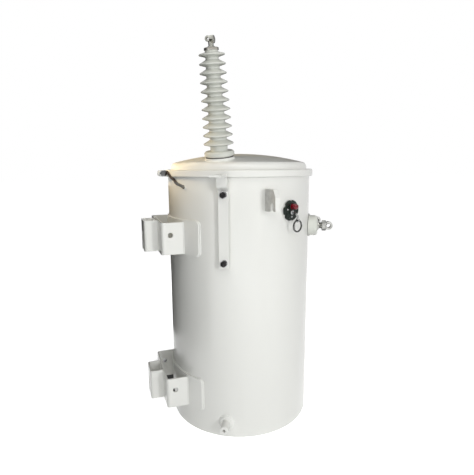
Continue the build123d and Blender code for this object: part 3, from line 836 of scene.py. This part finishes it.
def lv_terminals():
    """Threaded stud, heavy nut and eye on each low-voltage bushing, and the gasket at the wall."""
    seat_r = 0.0165
    nut_start, nut_end = LV_NUT
    for number, azimuth in enumerate(LV_ANGLES, 1):
        wall = wall_frame(azimuth, LV_Z)
        bm = bmesh.new()
        add_turned(bm, [(seat_r, LV_BODY_END - 0.001), (seat_r, LV_BODY_END + 0.0018),
                        (0.0158, LV_BODY_END + 0.0025)], wall, 48)
        add_thread(bm, wall, radius=0.0125, start=LV_BODY_END, end=nut_start + 0.001,
                   pitch=0.0025, depth=0.0012)
        add_hex(bm, wall, flats=0.036, start=nut_start, end=nut_end, chamfer_start=True)
        eye = flat_ring(inner=0.0075, outer=0.016, low=-0.010, high=0.010, bevel=0.0018)
        add_band(bm, eye, eye_frame(wall, (0, 0, LV_EYE_AT), "Y"))
        terminal = piece(f"lv_terminal_{number}_detailed", bm, BRIGHT)
        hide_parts(f"lv_terminal_{number}")
        bm = bmesh.new()
        add_tube(bm, circle_on_tank(azimuth, LV_Z, LV_FLANGE_R - 0.0004), 0.0014, closed=True, sides=10)
        piece(f"lv_gasket_{number}", bm, RUBBER)


# ---------------------------------------------------------------- breaker and strap
def breaker_face():
    """Bezel round the lens, and the plate's rim, hub and screws."""
    face = wall_frame(BREAKER_AZIMUTH, BREAKER_Z, BREAKER_FACE)
    bm = bmesh.new()
    at_lens = face @ Matrix.Translation((0, LENS_UP, 0.0012))
    add_band(bm, flat_ring(LENS_R + 0.0003, LENS_R + 0.0030, low=0, high=0.0026, bevel=0.0010), at_lens)
    piece("lens_bezel", bm, GREEN)

    hub_r = 0.0125
    hub = face @ Matrix.Translation((0, -HUB_DOWN, 0))
    bm = bmesh.new()
    rim = flat_ring(BREAKER_R - 0.0100, BREAKER_R - 0.0076, low=-0.001, high=0.0014, bevel=0.0006)
    add_band(bm, rim, face, 96)
    add_turned(bm, [(hub_r, -0.001), (hub_r, 0.0016), (0.0118, 0.0024)], hub, 48)
    piece("breaker_rim", bm, GREEN)

    screw_circle_r, screw_r = 0.0215, 0.0036
    bm = bmesh.new()
    for angle in (168.0, 12.0, 270.0):
        place = face @ Matrix.Translation(polar(screw_circle_r, angle))
        add_turned(bm, [(screw_r, 0), (screw_r, 0.0012), (0.0030, 0.0022), (0.0016, 0.0027)], place, 24)
    piece("breaker_screws", bm, ZINC)


def breaker_lever():
    """Bent strip from a boss on the hub to the eye that the ring hangs in."""
    wall = wall_frame(BREAKER_AZIMUTH, BREAKER_Z)
    hub = wall_frame(BREAKER_AZIMUTH, BREAKER_Z, BREAKER_FACE) @ Matrix.Translation((0, -HUB_DOWN, 0))
    drop = RING_TOP - BREAKER_Z
    corners = [Vector((0, -HUB_DOWN, BREAKER_FACE)), Vector((0, -HUB_DOWN - 0.004, RING_AT - 0.002)),
               Vector((0, drop + 0.006, RING_AT))]
    path = [wall @ point for point in rounded(corners, 0.009)]
    sideways = wall.to_3x3().col[0]
    bm = bmesh.new()
    add_ribbon(bm, path, [sideways] * len(path), half_wide=0.0045, half_thick=0.0020, bevel=0.0008)
    eye = flat_ring(inner=0.0042, outer=0.0080, low=-0.0020, high=0.0020, bevel=0.0008)
    add_band(bm, eye, eye_frame(wall, (0, drop, RING_AT), "Y"), 48)
    boss_r = 0.0080
    add_turned(bm, [(boss_r, 0.0), (boss_r, 0.0038), (0.0068, 0.0050)], hub, 48)
    lever = piece("breaker_lever_bent", bm, ZINC)
    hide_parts("breaker_lever")


def pull_ring():
    """The hanging ring, in wire a little thicker than the solid's and of the same outer size."""
    low, high = heights("pull_ring")
    radius = (high - low) / 2 - RING_WIRE_R
    ring_frame = wall_frame(BREAKER_AZIMUTH, (low + high) / 2, RING_AT)
    bm = bmesh.new()
    add_band(bm, round_wire(radius, RING_WIRE_R), ring_frame, 96)
    ring = piece("pull_ring_wire", bm, STEEL, body=RING_BODY)
    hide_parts("pull_ring")


def outward(point):
    """Direction from the tank's axis to a point, level."""
    return Vector((point.x, point.y, 0)).normalized()


def strap_top():
    """Middle of the strap's top lug, on the clamp bolt."""
    low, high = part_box("clamp_bolt")
    bolt = (low + high) / 2
    return Vector((bolt.x, STRAP_TOP_Y, bolt.z))


def strap_top_lug(top):
    """The tinned ring under the clamp bolt's head."""
    bm = bmesh.new()
    add_band(bm, flat_ring(inner=0.0061, outer=0.0100, low=-0.0012, high=0.0012, bevel=0.0004),
             bolt_frame(top), 48)
    piece("strap_top_lug", bm, TINNED)


def ground_strap(top):
    """Flat copper braid from its top lug on the clamp bolt, over the clamp ring's face, to the
    wall. It turns from facing the bolt to facing out from the tank. Route: azimuth, radius, Z."""
    route = (
        (-172.8, STRAP_LIP_R, 0.9655), (-169.5, STRAP_LIP_R, 0.9590), (-166.6, STRAP_LIP_R, 0.9480),
        (-164.8, STRAP_WALL_R, 0.9385), (-163.4, STRAP_WALL_R, 0.9310), (-161.0, STRAP_WALL_R, 0.9262))
    bends = [polar(radius, azimuth, z) for azimuth, radius, z in route]
    first_x, turn_from_y, turn_over = 0.007, -0.0240, 0.010
    path = resample(rounded([top + Vector((first_x, 0, 0))] + bends, 0.004), 0.0012)
    faces = []
    for point in path:
        share = min(1.0, max(0.0, (turn_from_y - point.y) / turn_over))
        faces.append((Vector((0, -1, 0)) * (1 - share) + outward(point) * share).normalized())
    bm = bmesh.new()
    add_ribbon(bm, path, faces, half_wide=0.0064, half_thick=0.0012, bevel=0.0005)
    strap = piece("ground_strap_braid", bm, BRAID)
    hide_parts("cover_ground_strap")


def strap_end_lug():
    """The tinned lug that ends the braid on the wall."""
    route = ((-163.0, 0.9285), (-159.5, 0.9245), (-156.0, 0.9200), (STRAP_END_AZIMUTH, STRAP_END_Z))
    path = resample([polar(STRAP_WALL_R, azimuth, z) for azimuth, z in route], 0.002)
    bm = bmesh.new()
    faces = [outward(point) for point in path]
    add_ribbon(bm, path, faces, half_wide=0.0048, half_thick=0.0014, bevel=0.0005)
    end_r = 0.0066
    end_frame = wall_frame(STRAP_END_AZIMUTH, STRAP_END_Z, STRAP_WALL_R)
    add_turned(bm, [(end_r, -0.0012), (end_r, 0.0008), (0.0060, 0.0012)], end_frame, 48)
    piece("strap_end_lug", bm, TINNED)


# ---------------------------------------------------------------- studio
def background_rays(tree):
    """1 for the rays that see the white background, which are the camera's and those of gloss and
    glass, and 0 for the rest."""
    rays = tree.nodes.new("ShaderNodeLightPath")
    seen = rays.outputs["Is Camera Ray"]
    for kind in ("Is Glossy Ray", "Is Transmission Ray"):
        either = tree.nodes.new("ShaderNodeMath")
        either.operation = "MAXIMUM"
        tree.links.new(seen, either.inputs[0])
        tree.links.new(rays.outputs[kind], either.inputs[1])
        seen = either.outputs["Value"]
    return seen


def drawn_shadow(g):
    """1 inside the floor's drawn oval and 0 outside, with a soft edge."""
    turned = g.add("ShaderNodeVectorRotate", rotation_type="Z_AXIS")
    turned.inputs["Angle"].default_value = -radians(SHADOW_AZIMUTH)
    g.link(g.place, turned.inputs["Vector"])
    oval = g.add("ShaderNodeMapping")
    oval.inputs["Location"].default_value = (-SHADOW_OUT / SHADOW_LONG, 0, 0)
    oval.inputs["Scale"].default_value = (1 / SHADOW_LONG, 1 / SHADOW_WIDE, 1)
    g.link(turned.outputs["Vector"], oval.inputs["Vector"])
    return g.span(g.length(oval.outputs["Vector"]), 0.95, 1.20, 1.0, 0.0)


def floor():
    """Wide white floor that glows only for the rays that see the background."""
    bm = bmesh.new()
    bmesh.ops.create_grid(bm, x_segments=2, y_segments=2, size=30.0)
    obj = mesh_object("floor", bm)
    obj.location.z = -0.0005
    g = Graph("white_floor")
    shade = drawn_shadow(g)
    glow = g.span(g.length(g.place), 0.6, 6.0, FLOOR_GLOW, FLOOR_GLOW_FAR)
    glow = g.times(glow, g.span(shade, 0.0, 1.0, 1.0, SHADOW_GLOW))
    g.link(g.times(background_rays(g.tree), glow), g.shader.inputs["Emission Strength"])
    colour = g.mix(shade, FLOOR_COLOUR, SHADOW_COLOUR)
    obj.data.materials.append(g.finish(colour, 0.9, Emission_Color=(1, 1, 1, 1), Specular_IOR_Level=0.0))


def card(name, azimuth, distance, wide, low, high, shade):
    """Upright studio card that the camera can't see. It darkens the reflections, and one that
    hangs above the floor also blocks the lamps."""
    board = wall_frame(azimuth, 0.0, distance)
    half = wide / 2
    bm = bmesh.new()
    corners = ((-half, low), (half, low), (half, high), (-half, high))
    bm.faces.new([bm.verts.new(board @ Vector((x, z, 0))) for x, z in corners])
    obj = mesh_object(name, bm)
    obj.visible_camera = False
    obj.visible_shadow = low > 0
    obj.data.materials.append(Graph(name).finish(shade, 0.9, Specular_IOR_Level=0.0))


def world():
    """White for the rays that see the background, and a faint even light for the rest."""
    room = bpy.data.worlds.new("studio")
    bpy.context.scene.world = room
    room.use_nodes = True
    nodes, links = room.node_tree.nodes, room.node_tree.links
    light = nodes["Background"]
    light.inputs["Color"].default_value = (1.0, 0.995, 0.98, 1)
    light.inputs["Strength"].default_value = WORLD_LIGHT
    white = nodes.new("ShaderNodeBackground")
    white.inputs["Color"].default_value = (1, 1, 1, 1)
    white.inputs["Strength"].default_value = 1.0
    mix = nodes.new("ShaderNodeMixShader")
    sources = (background_rays(room.node_tree), light.outputs[0], white.outputs[0])
    for source, target in zip(sources, mix.inputs):
        links.new(source, target)
    links.new(mix.outputs[0], nodes["World Output"].inputs["Surface"])


def lamp(name, azimuth, height, distance, width, tall, power, aim, tint, mirrored, spread=180.0):
    """Soft box at an azimuth, turned towards the tank's axis. Only a mirrored one shows in the gloss.
    A smaller spread keeps its light in a cone."""
    data = bpy.data.lights.new(name, "AREA")
    data.shape = "RECTANGLE"
    data.size, data.size_y = width, tall
    data.energy = power
    data.color = tint
    data.spread = radians(spread)
    obj = bpy.data.objects.new(name, data)
    obj.location = polar(distance, azimuth, height)
    towards = Vector((0, 0, aim)) - obj.location
    obj.rotation_euler = towards.to_track_quat("-Z", "Y").to_euler()
    obj.visible_glossy = mirrored
    bpy.context.scene.collection.objects.link(obj)


def camera():
    """Eye level just under the dome's top, turned a little left of the tank's front."""
    data = bpy.data.cameras.new("camera")
    data.lens = CAMERA_LENS
    data.sensor_width = 36.0
    obj = bpy.data.objects.new("camera", data)
    turn = Matrix.Rotation(radians(CAMERA_HEADING), 4, "Z")
    turn = turn @ Matrix.Rotation(radians(90 - CAMERA_DOWN), 4, "X")
    turn = turn @ Matrix.Rotation(radians(CAMERA_ROLL), 4, "Z")
    place = polar(CAMERA_DISTANCE, CAMERA_AZIMUTH, CAMERA_HEIGHT)
    obj.matrix_world = Matrix.Translation(place) @ turn
    bpy.context.scene.collection.objects.link(obj)
    bpy.context.scene.camera = obj


dress_nodes()
bracket_welds("lower_bracket")
bracket_welds("upper_bracket")
fitting_welds()
fasteners()
clamp_bolt()
hv_terminal()
lv_terminals()
breaker_face()
breaker_lever()
pull_ring()
strap_top_lug(strap_top())
ground_strap(strap_top())
strap_end_lug()
floor()
world()
for settings in LAMPS:
    lamp(*settings)
for settings in CARDS:
    card(*settings)
camera()
bpy.context.scene.view_settings.view_transform = "Standard"

bpy.context.view_layer.update()
